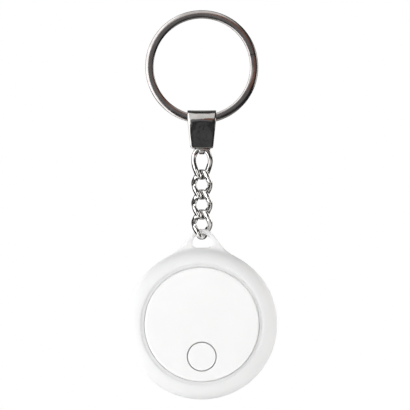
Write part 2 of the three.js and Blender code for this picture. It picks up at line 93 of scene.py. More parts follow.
# Key ring. Its ends and its step are placed by degrees about its middle, from +X upwards.
RING_OUTER = 15
RING_INNER = 12.8
RING_Z = RING_TOP - RING_OUTER
COIL_THICKNESS = 0.74
COIL_GAP = 0.08
COIL_INNER_SQUARENESS = 3.2
COIL_OUTER_SQUARENESS = 1.9
STEP_ANGLE = -10
STEP_HALF_WIDTH = 22
END_CLEARANCE = 1
END_ROUNDING = ((0, 0.8), (0.03, 0.93), (0.09, 0.985))
END_LENGTH = 0.2
RING_STATIONS = 415
RING_SIDES = 44

# Strap
STRAP_THICKNESS = 0.4
STRAP_LOOP_RADIUS = 2.12
STRAP_LOOP_TALLNESS = 1.2
STRAP_EYE_RADIUS = 1.15
STRAP_EYE_END = -172
STRAP_PIVOT = STRAP_TOP - STRAP_LOOP_RADIUS - STRAP_THICKNESS / 2
STRAP_DROP = 8
STRAP_EYE_Z = STRAP_PIVOT - STRAP_DROP
STRAP_FOOT_GAP = 0.35
STRAP_TOP_WIDTH = 7.65
STRAP_FOOT_WIDTH = 6
STRAP_SHOULDER_WIDTH = 4.5
TONGUE_WIDTH = 1.5
STRAP_CORNER = 0.7
STRAP_EDGE_WIDTH = 0.5
STRAP_EDGE_DEPTH = 0.19
STRAP_END_SHRINK = 0.7
STRAP_LIFT = 0.07
STRAP_BOW = 0.26
STRAP_SPACING = 0.09

# Chain
WIRE = 1.35
WIRE_HALF_WIDTH = WIRE * 0.49
WIRE_HALF_HEIGHT = WIRE * 0.5
WIRE_SQUARENESS = 3
WIRE_SIDES = 36
LINK_COUNT = 4
LINK_LENGTH = 8.05
LINK_WIDTH = 5.66
FIRST_LINK_LENGTH = 8.75
FIRST_LINK_WIDTH = 5.95
LINK_TWIST = 45
LAST_LINK_TWIST = 56
LINK_SQUARENESS = 2.3
LINK_STATIONS = 120

# Case. Its depths are measured either way from its middle plane.
CASE_RADIUS = 20
CREST_RADIUS = 15.8
CREST = 3.6
CREST_ROUNDING = 0.2
BORE = 15.2
BORE_ROUNDING = 0.1
GROOVE_RADIUS = 16.1
GROOVE = 3.26
GROOVE_RISE = 0.28
GROOVE_ROUNDING = 0.1
LUG_TIP_RADIUS = 3.7
LUG_TIP_Z = CASE_HIGH[2] - TAG_Z - LUG_TIP_RADIUS
LUG_ROOT = 16.8
LUG_HALF_THICKNESS = 0.6
LUG_EDGE = 0.45
LUG_FILLET = 1.3
LUG_FLANK_ANGLE = 38
LUG_HOLE_HALF_WIDTH = 2.275
LUG_HOLE_TOP = 23.87
LUG_HOLE_BOTTOM = 20.3
LUG_HOLE_CORNER = 0.9
LUG_OUTLINE_ROUNDING = 0.3
LUG_HOLE_ROUNDING = 0.4
CASE_CELL = 0.3

# Covers
SIDES = 144
COVER_RADIUS = 15.15
COVER_EDGE = 0.6
COVER_FLAT = COVER_RADIUS - COVER_EDGE
COVER_CROWN = 0.3
COVER_WALL = 1.1
COVER_SKIRT_END = -0.55
SKIRT_INNER = 14.1
DOOR_RADIUS = 15.1
DOOR_WALL = 0.8
DOOR_SKIRT_END = 1.45
SLOT_HALF_LENGTH = 6.5
SLOT_HALF_WIDTH = 0.95
SLOT_DEPTH = 0.45
SLOT_EDGE = 0.14
AXIS_RADIUS = 0.02

# Button
BUTTON_HOLE_RADIUS = 3.95
BUTTON_RADIUS = 3.7
BUTTON_EDGE = 0.16
BUTTON_DISH = 0.05
BUTTON_SIDES = 96
FLANGE_RADIUS = 4.6
FLANGE_GAP = 0.05
FLANGE_THICKNESS = 0.55
NUB_RADIUS = 1.3


# Meshes

def make_piece(name, points, faces, node, body):
    """A smooth mesh from points in millimetres, which stands for a CAD node on its body."""
    mesh = bpy.data.meshes.new(name)
    mesh.from_pydata([tuple(point) for point in np.asarray(points) * MM], [], faces)
    mesh.validate()
    mesh.update()
    mesh.shade_smooth()
    piece = bpy.data.objects.new(name, mesh)
    bpy.context.scene.collection.objects.link(piece)
    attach(piece, body)
    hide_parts(node)
    return piece


def loft(loops, closed=False):
    """Points and faces of a skin over loops of equally many points. An open one gets end caps."""
    loops = [np.asarray(loop, dtype=float) for loop in loops]
    count = len(loops[0])
    points = np.concatenate(loops)
    pairs = range(len(loops)) if closed else range(len(loops) - 1)
    faces = []
    for i in pairs:
        here = i * count
        there = ((i + 1) % len(loops)) * count
        for k in range(count):
            after = (k + 1) % count
            faces.append((here + k, here + after, there + after, there + k))
    if not closed:
        faces.append(tuple(reversed(range(count))))
        last = (len(loops) - 1) * count
        faces.append(tuple(range(last, last + count)))
    return points, outward(points, faces)


def outward(points, faces):
    """The faces, turned so that they point out of the body that they close."""
    volume = 0
    for face in faces:
        first = points[face[0]]
        for k in range(1, len(face) - 1):
            volume += np.dot(first, np.cross(points[face[k]], points[face[k + 1]]))
    return faces if volume > 0 else [tuple(reversed(face)) for face in faces]


def circle(radius, depth, count, z=TAG_Z):
    """A loop about the Y axis at a depth, starting at +X and going up."""
    turn = np.linspace(0, 2 * np.pi, count, endpoint=False)
    return np.stack([
        radius * np.cos(turn), np.full(count, depth), z + radius * np.sin(turn),
    ], axis=1)


def rounded_box_loop(half_width, half_height, corner_width, corner_height, steps=6):
    """A flat loop round a box with elliptical corners, as pairs, with points along its faces."""
    inner_x, inner_y = half_width - corner_width, half_height - corner_height
    loop = []
    for side_x, side_y, start in ((1, 1, 0), (-1, 1, 90), (-1, -1, 180), (1, -1, 270)):
        loop += arc(side_x * inner_x, side_y * inner_y, corner_width, corner_height,
                    start, start + 90, steps)
        along = side_y * np.linspace(inner_x, -inner_x, 8)[1:-1] if side_x == side_y else []
        loop += [(x, side_y * half_height) for x in along]
    return np.array(loop)


def domed_loop(half_width, half_height, inner_square, outer_square, count):
    """A flat loop of a domed wire, squarer on its inner (-X) half than on its outer half."""
    turn = np.linspace(0, 2 * np.pi, count, endpoint=False) + np.pi / count
    cosine, sine = np.cos(turn), np.sin(turn)
    power = 2 / np.where(cosine > 0, outer_square, inner_square)
    across = half_width * np.sign(cosine) * np.abs(cosine) ** power
    up = half_height * np.sign(sine) * np.abs(sine) ** power
    return np.stack([across, up], axis=1)


def arc(x, y, radius_x, radius_y, start, end, steps):
    """Pairs along an ellipse's arc, in degrees."""
    turn = np.radians(np.linspace(start, end, steps + 1))
    return [(x + radius_x * math.cos(t), y + radius_y * math.sin(t)) for t in turn]


def smoothstep(value, low, high):
    """0 up to low and 1 from high on, with a smooth rise between them."""
    part = np.clip((value - low) / (high - low), 0, 1)
    return part * part * (3 - 2 * part)


def smootherstep(value, low, high):
    """As smoothstep, but with a curvature that starts and ends at nothing too."""
    part = np.clip((value - low) / (high - low), 0, 1)
    return part ** 3 * (part * (part * 6 - 15) + 10)


# Implicit surfaces

def smooth_max(a, b, blend):
    """The greater of two fields, with the crease between them rounded over a width of blend."""
    part = np.clip(0.5 + 0.5 * (a - b) / blend, 0, 1)
    return b + (a - b) * part + blend * part * (1 - part)


def smooth_min(a, b, blend):
    """The lesser of two fields, with the crease between them filled over a width of blend."""
    return -smooth_max(-a, -b, blend)


def gradient(field, points, step=0.01):
    """The field's slope along each axis at each point."""
    slopes = []
    for axis in range(3):
        shift = np.zeros(3)
        shift[axis] = step
        slopes.append((field(points + shift) - field(points - shift)) / (2 * step))
    return np.stack(slopes, axis=-1)


def surface_net(field, low, high, cell):
    """Points and quads of the surface where a field is zero, one point to a cube of a grid."""
    axes = [np.arange(low[k], high[k] + cell, cell) for k in range(3)]
    grid = np.stack(np.meshgrid(*axes, indexing="ij"), axis=-1)
    values = field(grid)
    cubes = np.array(values.shape) - 1
    total = np.zeros((*cubes, 3))
    crossings = np.zeros(cubes)
    quads = [net_quads(grid, values, axis, total, crossings) for axis in range(3)]
    used, flat = np.unique(np.concatenate(quads), return_inverse=True)
    points = total.reshape(-1, 3)[used] / crossings.reshape(-1)[used][:, None]
    points = settle(field, points, cell * 0.5)
    return points, [tuple(int(k) for k in quad) for quad in flat.reshape(-1, 4)]


def net_quads(grid, values, axis, total, crossings):
    """A quad for each grid edge along an axis that the surface crosses, over the four cubes round
    the edge. It adds the place of each crossing to those cubes' totals and counts it."""
    near = [slice(None)] * 3
    far = [slice(None)] * 3
    near[axis] = slice(0, -1)
    far[axis] = slice(1, None)
    near, far = tuple(near), tuple(far)
    a, b = values[near], values[far]
    crossed = (a < 0) != (b < 0)
    part = np.where(crossed, a / np.where(crossed, a - b, 1), 0)
    at = grid[near] + part[..., None] * (grid[far] - grid[near])
    u, v = (axis + 1) % 3, (axis + 2) % 3
    shape = values.shape
    places = np.argwhere(crossed)
    inner = (places[:, u] > 0) & (places[:, v] > 0)
    inner &= (places[:, u] < shape[u] - 1) & (places[:, v] < shape[v] - 1)
    places = places[inner]
    corners = []
    for du, dv in ((1, 1), (0, 1), (0, 0), (1, 0)):
        cubes = places.copy()
        cubes[:, u] -= du
        cubes[:, v] -= dv
        index = tuple(cubes.T)
        np.add.at(total, index, at[tuple(places.T)])
        np.add.at(crossings, index, 1)
        corners.append(np.ravel_multi_index(index, crossings.shape))
    quads = np.stack(corners, axis=1)
    leaving = (a < 0)[tuple(places.T)]
    quads[~leaving] = quads[~leaving][:, ::-1]
    return quads


def settle(field, points, longest, rounds=6):
    """The points, moved on to the surface in steps no longer than the longest."""
    for _ in range(rounds):
        slope = gradient(field, points)
        size = np.maximum((slope ** 2).sum(axis=1), 1e-6)
        step = -field(points)[:, None] * slope / size[:, None]
        length = np.linalg.norm(step, axis=1, keepdims=True)
        points = points + step * np.minimum(1, longest / np.maximum(length, 1e-9))
    return points


# Pieces

def split_ring():
    """Flat wire with rounded edges, wound twice, with one step between its coils."""
    half_width = (RING_OUTER - RING_INNER) / 2
    section = domed_loop(
        half_width, COIL_THICKNESS / 2, COIL_INNER_SQUARENESS, COIL_OUTER_SQUARENESS, RING_SIDES)
    side = (COIL_THICKNESS + COIL_GAP) / 2
    middle = (RING_INNER + RING_OUTER) / 2
    start = STEP_ANGLE + STEP_HALF_WIDTH + END_CLEARANCE
    turn = 720 - 2 * (STEP_HALF_WIDTH + END_CLEARANCE)
    ends, shares = zip(*END_ROUNDING)
    between = np.linspace(END_LENGTH, turn - END_LENGTH, RING_STATIONS)
    stations = [*ends, *between, *(turn - end for end in reversed(ends))]
    shrinks = [*shares, *np.ones(RING_STATIONS), *reversed(shares)]
    loops = []
    for station, shrink in zip(stations, shrinks):
        degrees = start + station
        past_step = degrees - STEP_ANGLE - 360
        depth = side * (2 * smoothstep(past_step, -STEP_HALF_WIDTH, STEP_HALF_WIDTH) - 1)
        angle = math.radians(degrees)
        radii = middle + section[:, 0] * shrink
        loops.append(np.stack([
            radii * math.cos(angle),
            depth + section[:, 1] * shrink,
            RING_Z + radii * math.sin(angle),
        ], axis=1))
    points, faces = loft(loops)
    return make_piece("split_ring_coil", points, faces, "split_ring", "key_ring")


def strap_line():
    """The strap's middle line as (y, z) points, from the front foot to the end of the eye."""
    lean = math.degrees(math.asin((STRAP_LOOP_RADIUS - STRAP_EYE_RADIUS) / STRAP_DROP))
    tall = STRAP_LOOP_RADIUS * STRAP_LOOP_TALLNESS
    loop_z = STRAP_PIVOT + STRAP_LOOP_RADIUS - tall
    turn = math.degrees(math.atan(STRAP_LOOP_TALLNESS * math.tan(math.radians(lean))))
    foot = (-STRAP_EYE_RADIUS, STRAP_EYE_Z + STRAP_FOOT_GAP)
    loop = arc(0, loop_z, STRAP_LOOP_RADIUS, tall, 180 + turn, -turn, 60)
    eye = arc(0, STRAP_EYE_Z, STRAP_EYE_RADIUS, STRAP_EYE_RADIUS, -lean, STRAP_EYE_END, 30)
    corners = [foot, *loop, *eye]
    line = []
    for here, there in zip(corners, corners[1:]):
        count = max(1, int(math.dist(here, there) / STRAP_SPACING))
        for k in range(count):
            part = k / count
            line.append((
                here[0] + (there[0] - here[0]) * part,
                here[1] + (there[1] - here[1]) * part,
            ))
    return np.array([*line, corners[-1]])


def strap_width(points):
    """The strap's full width at each point of its middle line."""
    foot_z = STRAP_EYE_Z + STRAP_FOOT_GAP
    shoulder_low, shoulder_high = foot_z - 0.22, foot_z + 0.06
    tongue_low, tongue_high = STRAP_EYE_Z - 0.62, STRAP_EYE_Z - 0.32
    y, z = points[:, 0], points[:, 1]
    taper = np.clip((z - foot_z) / (STRAP_PIVOT - foot_z), 0, 1)
    width = STRAP_FOOT_WIDTH + (STRAP_TOP_WIDTH - STRAP_FOOT_WIDTH) * taper
    past = np.cumsum(np.linalg.norm(np.diff(points, axis=0, prepend=points[:1]), axis=1))
    near_end = np.clip(STRAP_CORNER - past, 0, STRAP_CORNER)
    width -= 1.8 * (STRAP_CORNER - np.sqrt(STRAP_CORNER ** 2 - near_end ** 2))
    shoulder = smoothstep(z, shoulder_low, shoulder_high)
    tongue = smoothstep(z, tongue_low, tongue_high)
    back = TONGUE_WIDTH + (STRAP_SHOULDER_WIDTH - TONGUE_WIDTH) * tongue
    back = back + (width - back) * shoulder
    past_top = past > past[np.argmax(z)]
    width = np.where(past_top & (y > 0), back, width)
    return np.where(past_top & (y <= 0), TONGUE_WIDTH, width)


def folded_strap():
    """A sheet folded over the ring and rolled into an eye, bowed a little at its front."""
    line = strap_line()
    widths = strap_width(line)
    along = np.gradient(line, axis=0)
    along /= np.linalg.norm(along, axis=1, keepdims=True)
    outwards = np.stack([-along[:, 1], along[:, 0]], axis=1)
    bow_start = STRAP_PIVOT - STRAP_DROP / 2
    loops = []
    last = len(line) - 1
    for i, (point, width, normal) in enumerate(zip(line, widths, outwards)):
        shrink = STRAP_END_SHRINK if i in (0, last) else 1
        edge = min(STRAP_EDGE_WIDTH, width * 0.3) * shrink
        section = rounded_box_loop(
            width / 2, STRAP_THICKNESS / 2 * shrink, edge, STRAP_EDGE_DEPTH * shrink)
        side = np.abs(2 * section[:, 0] / width)
        on_top = smoothstep(normal[1], 0.3, 0.98)
        bowed = smoothstep(point[1], bow_start, STRAP_PIVOT) * (1 - on_top)
        deep = section[:, 1] + STRAP_LIFT * on_top * side ** 4 - STRAP_BOW * bowed * side ** 3
        loops.append(np.stack([
            section[:, 0],
            point[0] + normal[0] * deep,
            point[1] + normal[1] * deep,
        ], axis=1))
    points, faces = loft(loops)
    return make_piece("folded_strap", points, faces, "bail_strap", "strap")


def link_line(number, part):
    """A link's middle line at shares of the way round it, and the link's own facing there."""
    is_first = number == 1
    half_height = ((FIRST_LINK_LENGTH if is_first else LINK_LENGTH) - WIRE) / 2
    half_width = ((FIRST_LINK_WIDTH if is_first else LINK_WIDTH) - WIRE) / 2
    twist_top = 0 if is_first else -LINK_TWIST
    twist_bottom = LAST_LINK_TWIST if number == LINK_COUNT else LINK_TWIST
    low, high = box_mm(f"chain_link_{number}")
    cosine, sine = np.cos(2 * np.pi * part), np.sin(2 * np.pi * part)
    power = 2 / LINK_SQUARENESS
    across = half_width * np.sign(cosine) * np.abs(cosine) ** power
    up = np.sign(sine) * np.abs(sine) ** power
    turn = np.radians(twist_bottom + (twist_top - twist_bottom) * smootherstep(up, -1, 1))
    places = np.stack([
        across * np.cos(turn), across * np.sin(turn), (low[2] + high[2]) / 2 + up * half_height,
    ], axis=-1)
    return places, np.stack([-np.sin(turn), np.cos(turn), np.zeros_like(turn)], axis=-1)


def curb_link(number):
    """A twisted oval of slightly squared wire. Its ends lie at the twists of its neighbours."""
    fine_parts = np.linspace(0, 1, 4001)
    fine, _ = link_line(number, fine_parts)
    past = np.concatenate([[0], np.cumsum(np.linalg.norm(np.diff(fine, axis=0), axis=1))])
    even = np.linspace(0, past[-1], LINK_STATIONS, endpoint=False)
    places, normals = link_line(number, np.interp(even, past, fine_parts))
    along = np.roll(places, -1, axis=0) - np.roll(places, 1, axis=0)
    along /= np.linalg.norm(along, axis=1, keepdims=True)
    normals -= along * (normals * along).sum(axis=1, keepdims=True)
    normals /= np.linalg.norm(normals, axis=1, keepdims=True)
    across = np.cross(along, normals)
    section = domed_loop(
        WIRE_HALF_WIDTH, WIRE_HALF_HEIGHT, WIRE_SQUARENESS, WIRE_SQUARENESS, WIRE_SIDES)
    loops = [
        place + np.outer(section[:, 0], u) + np.outer(section[:, 1], v)
        for place, u, v in zip(places, normals, across)
    ]
    points, faces = loft(loops, closed=True)
    return make_piece(f"curb_link_{number}", points, faces, f"chain_link_{number}",
                      f"link_{number}")


def case_field(points):
    """Below zero inside the frosted ring and its lug."""
    x, y, z = points[..., 0], np.abs(points[..., 1]), points[..., 2] - TAG_Z
    hole = lug_hole(x, z)
    whole = smooth_min(case_ring(np.hypot(x, z), y), case_lug(x, y, z, hole), LUG_FILLET)
    return smooth_max(whole, -hole, LUG_HOLE_ROUNDING)


def case_ring(radius, y):
    """Below zero inside a ring with a domed outside and a groove beside each cover."""
    reach = CASE_RADIUS - CREST_RADIUS
    bead = (np.hypot(np.maximum(radius - CREST_RADIUS, 0) / reach, y / CREST) - 1) * reach
    floor_y = GROOVE + GROOVE_RISE * (GROOVE_RADIUS - radius) / (GROOVE_RADIUS - BORE)
    groove = smooth_max(radius - GROOVE_RADIUS, floor_y - y, GROOVE_ROUNDING)
    ring = smooth_max(bead, -groove, CREST_ROUNDING)
    return smooth_max(ring, BORE - radius, BORE_ROUNDING)


def case_lug(x, y, z, hole):
    """Below zero inside a flat lug with straight flanks, a round tip and rounded edges."""
    flank = math.radians(LUG_FLANK_ANGLE)
    side, up = np.abs(x), z - LUG_TIP_Z
    past_flank = up * math.cos(flank) - side * math.sin(flank) > 0
    outline = np.where(
        past_flank,
        np.hypot(side, up),
        side * math.cos(flank) + up * math.sin(flank),
    ) - LUG_TIP_RADIUS
    plate = smooth_max(outline, -hole, LUG_OUTLINE_ROUNDING)
    plate = smooth_max(plate, LUG_ROOT - z, LUG_OUTLINE_ROUNDING)
    wide = plate + LUG_EDGE
    deep = y - LUG_HALF_THICKNESS + LUG_EDGE
    outside = np.hypot(np.maximum(wide, 0), np.maximum(deep, 0))
    return outside + np.minimum(np.maximum(wide, deep), 0) - LUG_EDGE


def lug_hole(x, z):
    """Below zero inside the lug's hole: a half round over a box with round corners."""
    middle = LUG_HOLE_TOP - LUG_HOLE_HALF_WIDTH
    up = z - middle
    side = np.abs(x)
    corner = LUG_HOLE_CORNER
    box_x = side - (LUG_HOLE_HALF_WIDTH - corner)
    box_z = -up - (middle - LUG_HOLE_BOTTOM - corner)
    box = np.hypot(np.maximum(box_x, 0), np.maximum(box_z, 0))
    box = box + np.minimum(np.maximum(box_x, box_z), 0) - corner
    return np.where(up > 0, np.hypot(side, up) - LUG_HOLE_HALF_WIDTH, box)


def frosted_case():
    """The frosted ring and its lug, one piece."""
    points, faces = surface_net(
        case_field, CASE_LOW - CASE_CELL, CASE_HIGH + CASE_CELL, CASE_CELL)
    return make_piece("frosted_case", points, faces, "case_frame", "tag")


def crowned(loop):
    """The loop, moved back by the crown of the front cover, which is highest in its middle."""
    out = np.hypot(loop[:, 0], loop[:, 2] - TAG_Z)
    moved = loop.copy()
    moved[:, 1] += COVER_CROWN * (out / COVER_FLAT) ** 2
    return moved


def bridge(start, end, steps):
    """Loops in even steps from one loop to another, without the first."""
    return [start + (end - start) * part for part in np.linspace(0, 1, steps + 1)[1:]]


def front_disc():
    """A shallow pillow with a rolled edge, a skirt, and a round hole for the button."""
    inner = COVER_FACE + COVER_WALL
    hole_rim = BUTTON_HOLE_RADIUS + BUTTON_EDGE
    hole_edge = arc(
        hole_rim, COVER_FACE + BUTTON_EDGE, BUTTON_EDGE, BUTTON_EDGE, 180, 270, 6)
    rolled_edge = arc(
        COVER_FLAT, COVER_FACE + COVER_EDGE + COVER_CROWN, COVER_EDGE, COVER_EDGE, -90, 0, 10)
    start = circle(hole_rim, COVER_FACE, SIDES, BUTTON_Z)
    end = circle(COVER_FLAT, COVER_FACE, SIDES)
    loops = [
        circle(BUTTON_HOLE_RADIUS, inner, SIDES, BUTTON_Z),
        *(crowned(circle(radius, depth, SIDES, BUTTON_Z)) for radius, depth in hole_edge),
        *(crowned(loop) for loop in bridge(start, end, 14)),
        *(circle(radius, depth, SIDES) for radius, depth in rolled_edge[1:]),
        circle(COVER_RADIUS, COVER_SKIRT_END, SIDES),
        circle(SKIRT_INNER, COVER_SKIRT_END, SIDES),
        circle(SKIRT_INNER, inner, SIDES),
    ]
    points, faces = loft(loops, closed=True)
    return make_piece("front_disc", points, faces, "front_cover", "tag")


def push_button():
    """A dished cap with a flange behind the cover and a nub that meets the switch."""
    face = BUTTON_LOW[1]
    back = BUTTON_HIGH[1]
    flange = COVER_FACE + COVER_WALL + FLANGE_GAP
    edge = BUTTON_EDGE
    profile = [
        (AXIS_RADIUS, face + BUTTON_DISH),
        (1.2, face + BUTTON_DISH * 0.9),
        (2.4, face + BUTTON_DISH * 0.5),
        *arc(BUTTON_RADIUS - edge, face + edge, edge, edge, -90, 0, 6),
        (BUTTON_RADIUS, flange),
        (FLANGE_RADIUS, flange),
        (FLANGE_RADIUS, flange + FLANGE_THICKNESS),
        (NUB_RADIUS, flange + FLANGE_THICKNESS),
        (NUB_RADIUS, back),
        (AXIS_RADIUS, back),
    ]
    loops = []
    for radius, depth in profile:
        loop = circle(radius, depth, BUTTON_SIDES, BUTTON_Z)
        loops.append(crowned(loop) if depth < flange else loop)
    points, faces = loft(loops)
    return make_piece("push_button", points, faces, "button_cap", "button")


def slot_loop(grow, depth):
    """The coin slot's outline, with its points spread by their angle about its middle."""
    turn = np.linspace(0, 2 * np.pi, SIDES, endpoint=False)
    end = SLOT_HALF_WIDTH + grow
    straight = SLOT_HALF_LENGTH - SLOT_HALF_WIDTH
    cosine, sine = np.cos(turn), np.sin(turn)
    reach_side = end / np.maximum(np.abs(sine), 1e-9)
    under_root = np.maximum(end ** 2 - (straight * sine) ** 2, 0)
    reach_end = straight * np.abs(cosine) + np.sqrt(under_root)
    on_side = np.abs(reach_side * cosine) <= straight
    reach = np.where(on_side, reach_side, reach_end)
    return np.stack([
        reach * cosine, np.full(SIDES, depth), TAG_Z + reach * sine,
    ], axis=1)


def coin_door():
    """The twist-lock door: a shallow cup with a rounded slot for a coin across its middle."""
    slot_floor = DOOR_FACE - SLOT_DEPTH
    inner = DOOR_FACE - DOOR_WALL
    flat = DOOR_RADIUS - COVER_EDGE
    slot_edge = arc(SLOT_EDGE, DOOR_FACE - SLOT_EDGE, SLOT_EDGE, SLOT_EDGE, 180, 90, 5)
    rolled_edge = arc(flat, DOOR_FACE - COVER_EDGE, COVER_EDGE, COVER_EDGE, 90, 0, 8)
    loops = [
        slot_loop(-0.6, slot_floor),
        slot_loop(-0.1, slot_floor),
        slot_loop(0, slot_floor + 0.1),
        *(slot_loop(grow, depth) for grow, depth in slot_edge),
        *bridge(slot_loop(SLOT_EDGE, DOOR_FACE), circle(flat, DOOR_FACE, SIDES), 11),
        *(circle(radius, depth, SIDES) for radius, depth in rolled_edge[1:]),
        circle(DOOR_RADIUS, DOOR_SKIRT_END, SIDES),
        circle(SKIRT_INNER, DOOR_SKIRT_END, SIDES),
        circle(SKIRT_INNER, inner, SIDES),
        circle(AXIS_RADIUS, inner, SIDES),
    ]
    points, faces = loft(loops)
    return make_piece("coin_slot_door", points, faces, "battery_door", "door")


# Materials

class Finish:
    """A Principled material, with helpers for the textures that vary it over the surface."""

    def __init__(self, name, **sockets):
        self.material = bpy.data.materials.new(name)
        self.material.use_nodes = True
        self.tree = self.material.node_tree
        self.shader = self.tree.nodes["Principled BSDF"]
        for socket, value in sockets.items():
            self.shader.inputs[socket.replace("_", " ")].default_value = value
        self.places = self.tree.nodes.new("ShaderNodeTexCoord").outputs["Object"]
        self.last_bump = None

    def node(self, kind, **inputs):
        """A node of that kind, with its inputs set by name."""
        node = self.tree.nodes.new(kind)
        for socket, value in inputs.items():
            node.inputs[socket.replace("_", " ")].default_value = value
        return node

    def link(self, source, target):
        """Joins an output to an input."""
        self.tree.links.new(source, target)

    def noise(self, per_mm, detail=3, roughness=0.5, stretch=(1, 1, 1)):
        """Noise with about that many grains to a millimetre."""
        mapping = self.node("ShaderNodeMapping", Scale=[per_mm * s / MM for s in stretch])
        self.link(self.places, mapping.inputs["Vector"])
        noise = self.node("ShaderNodeTexNoise", Scale=1, Detail=detail, Roughness=roughness)
        self.link(mapping.outputs["Vector"], noise.inputs["Vector"])
        return noise.outputs["Fac"]

    def colour(self, source, stops):
        """The base colour, by a ramp between two stops of (place, colour)."""
        node = self.node("ShaderNodeValToRGB")
        elements = node.color_ramp.elements
        for element, (place, colour) in zip(elements, stops):
            element.position = place
            element.color = (*colour, 1)
        self.link(source, node.inputs["Fac"])
        self.link(node.outputs["Color"], self.shader.inputs["Base Color"])

    def spread(self, source, from_low, from_high, to_low, to_high, socket):
        """Drives a socket of the shader by a source, stretched from one range to another."""
        node = self.node("ShaderNodeMapRange", From_Min=from_low, From_Max=from_high,
                         To_Min=to_low, To_Max=to_high)
        self.link(source, node.inputs["Value"])
        self.link(node.outputs["Result"], self.shader.inputs[socket])

    def roughness(self, source, low, high):
        """The roughness, from noise, which lies mostly between 0.3 and 0.7."""
        self.spread(source, 0.3, 0.7, low, high, "Roughness")

    def bump(self, source, height_mm, strength=1):
        """A bump of that height, over the bumps made before it."""
        node = self.node("ShaderNodeBump", Distance=height_mm * MM, Strength=strength)
        self.link(source, node.inputs["Height"])
        if self.last_bump:
            self.link(self.last_bump, node.inputs["Normal"])
        self.last_bump = node.outputs["Normal"]
        self.link(self.last_bump, self.shader.inputs["Normal"])


def metal(name, dark, light, smooth, rough, grain=0.004, stretch=(1, 1, 1), wave=0):
    """Plated metal: faint patches in its colour, smears in its polish, fine scratches and, by
    wave, a slow unevenness of that height."""
    finish = Finish(name, Metallic=1)
    patches = finish.noise(0.35, detail=4)
    finish.colour(patches, [(0.3, dark), (0.7, light)])
    finish.roughness(finish.noise(0.9, detail=5), smooth, rough)
    finish.bump(finish.noise(1.2, detail=2), grain * 4, 0.35)
    if wave:
        finish.bump(finish.noise(0.55, detail=1), wave)
    finish.bump(finish.noise(9, detail=3, stretch=stretch), grain, 0.4)
    return finish.material


def plastic(name, dark, light, smooth, rough, grain=0.004, **sockets):
    """Moulded plastic: a faint cloudiness, a fine moulded grain and uneven gloss."""
    finish = Finish(name, **sockets)
    finish.colour(finish.noise(0.12, detail=5), [(0.3, dark), (0.7, light)])
    finish.roughness(finish.noise(1.5, detail=4), smooth, rough)
    finish.bump(finish.noise(0.08, detail=1), grain * 6, 0.2)
    finish.bump(finish.noise(14, detail=3), grain, 0.35)
    return finish.material


def board_laminate():
    """Solder mask over copper tracks, which show as slightly raised, lighter lanes."""
    finish = Finish("board_laminate", IOR=1.5)
    lanes = finish.node("ShaderNodeTexBrick", Scale=900, Mortar_Size=0.03)
    mapping = finish.node("ShaderNodeMapping", Rotation=(math.pi / 2, 0, 0))
    finish.link(finish.places, mapping.inputs["Vector"])
    finish.link(mapping.outputs["Vector"], lanes.inputs["Vector"])
    finish.colour(lanes.outputs["Fac"], [(0, (0.015, 0.11, 0.05)), (1, (0.04, 0.22, 0.1))])
    finish.roughness(finish.noise(3), 0.3, 0.45)
    finish.bump(lanes.outputs["Fac"], 0.03, 0.5)
    return finish.material


def brushed(name, dark, light, smooth, rough):
    """Metal brushed in one direction."""
    return metal(name, dark, light, smooth, rough, grain=0.006, stretch=(0.08, 1, 1))


# How far red, green and blue scatter in the white and frosted plastic
SCATTER = (1, 0.95, 0.92)
WHITE = dict(
    IOR=1.49, Subsurface_Weight=0.15, Subsurface_Scale=0.001, Subsurface_Radius=SCATTER)


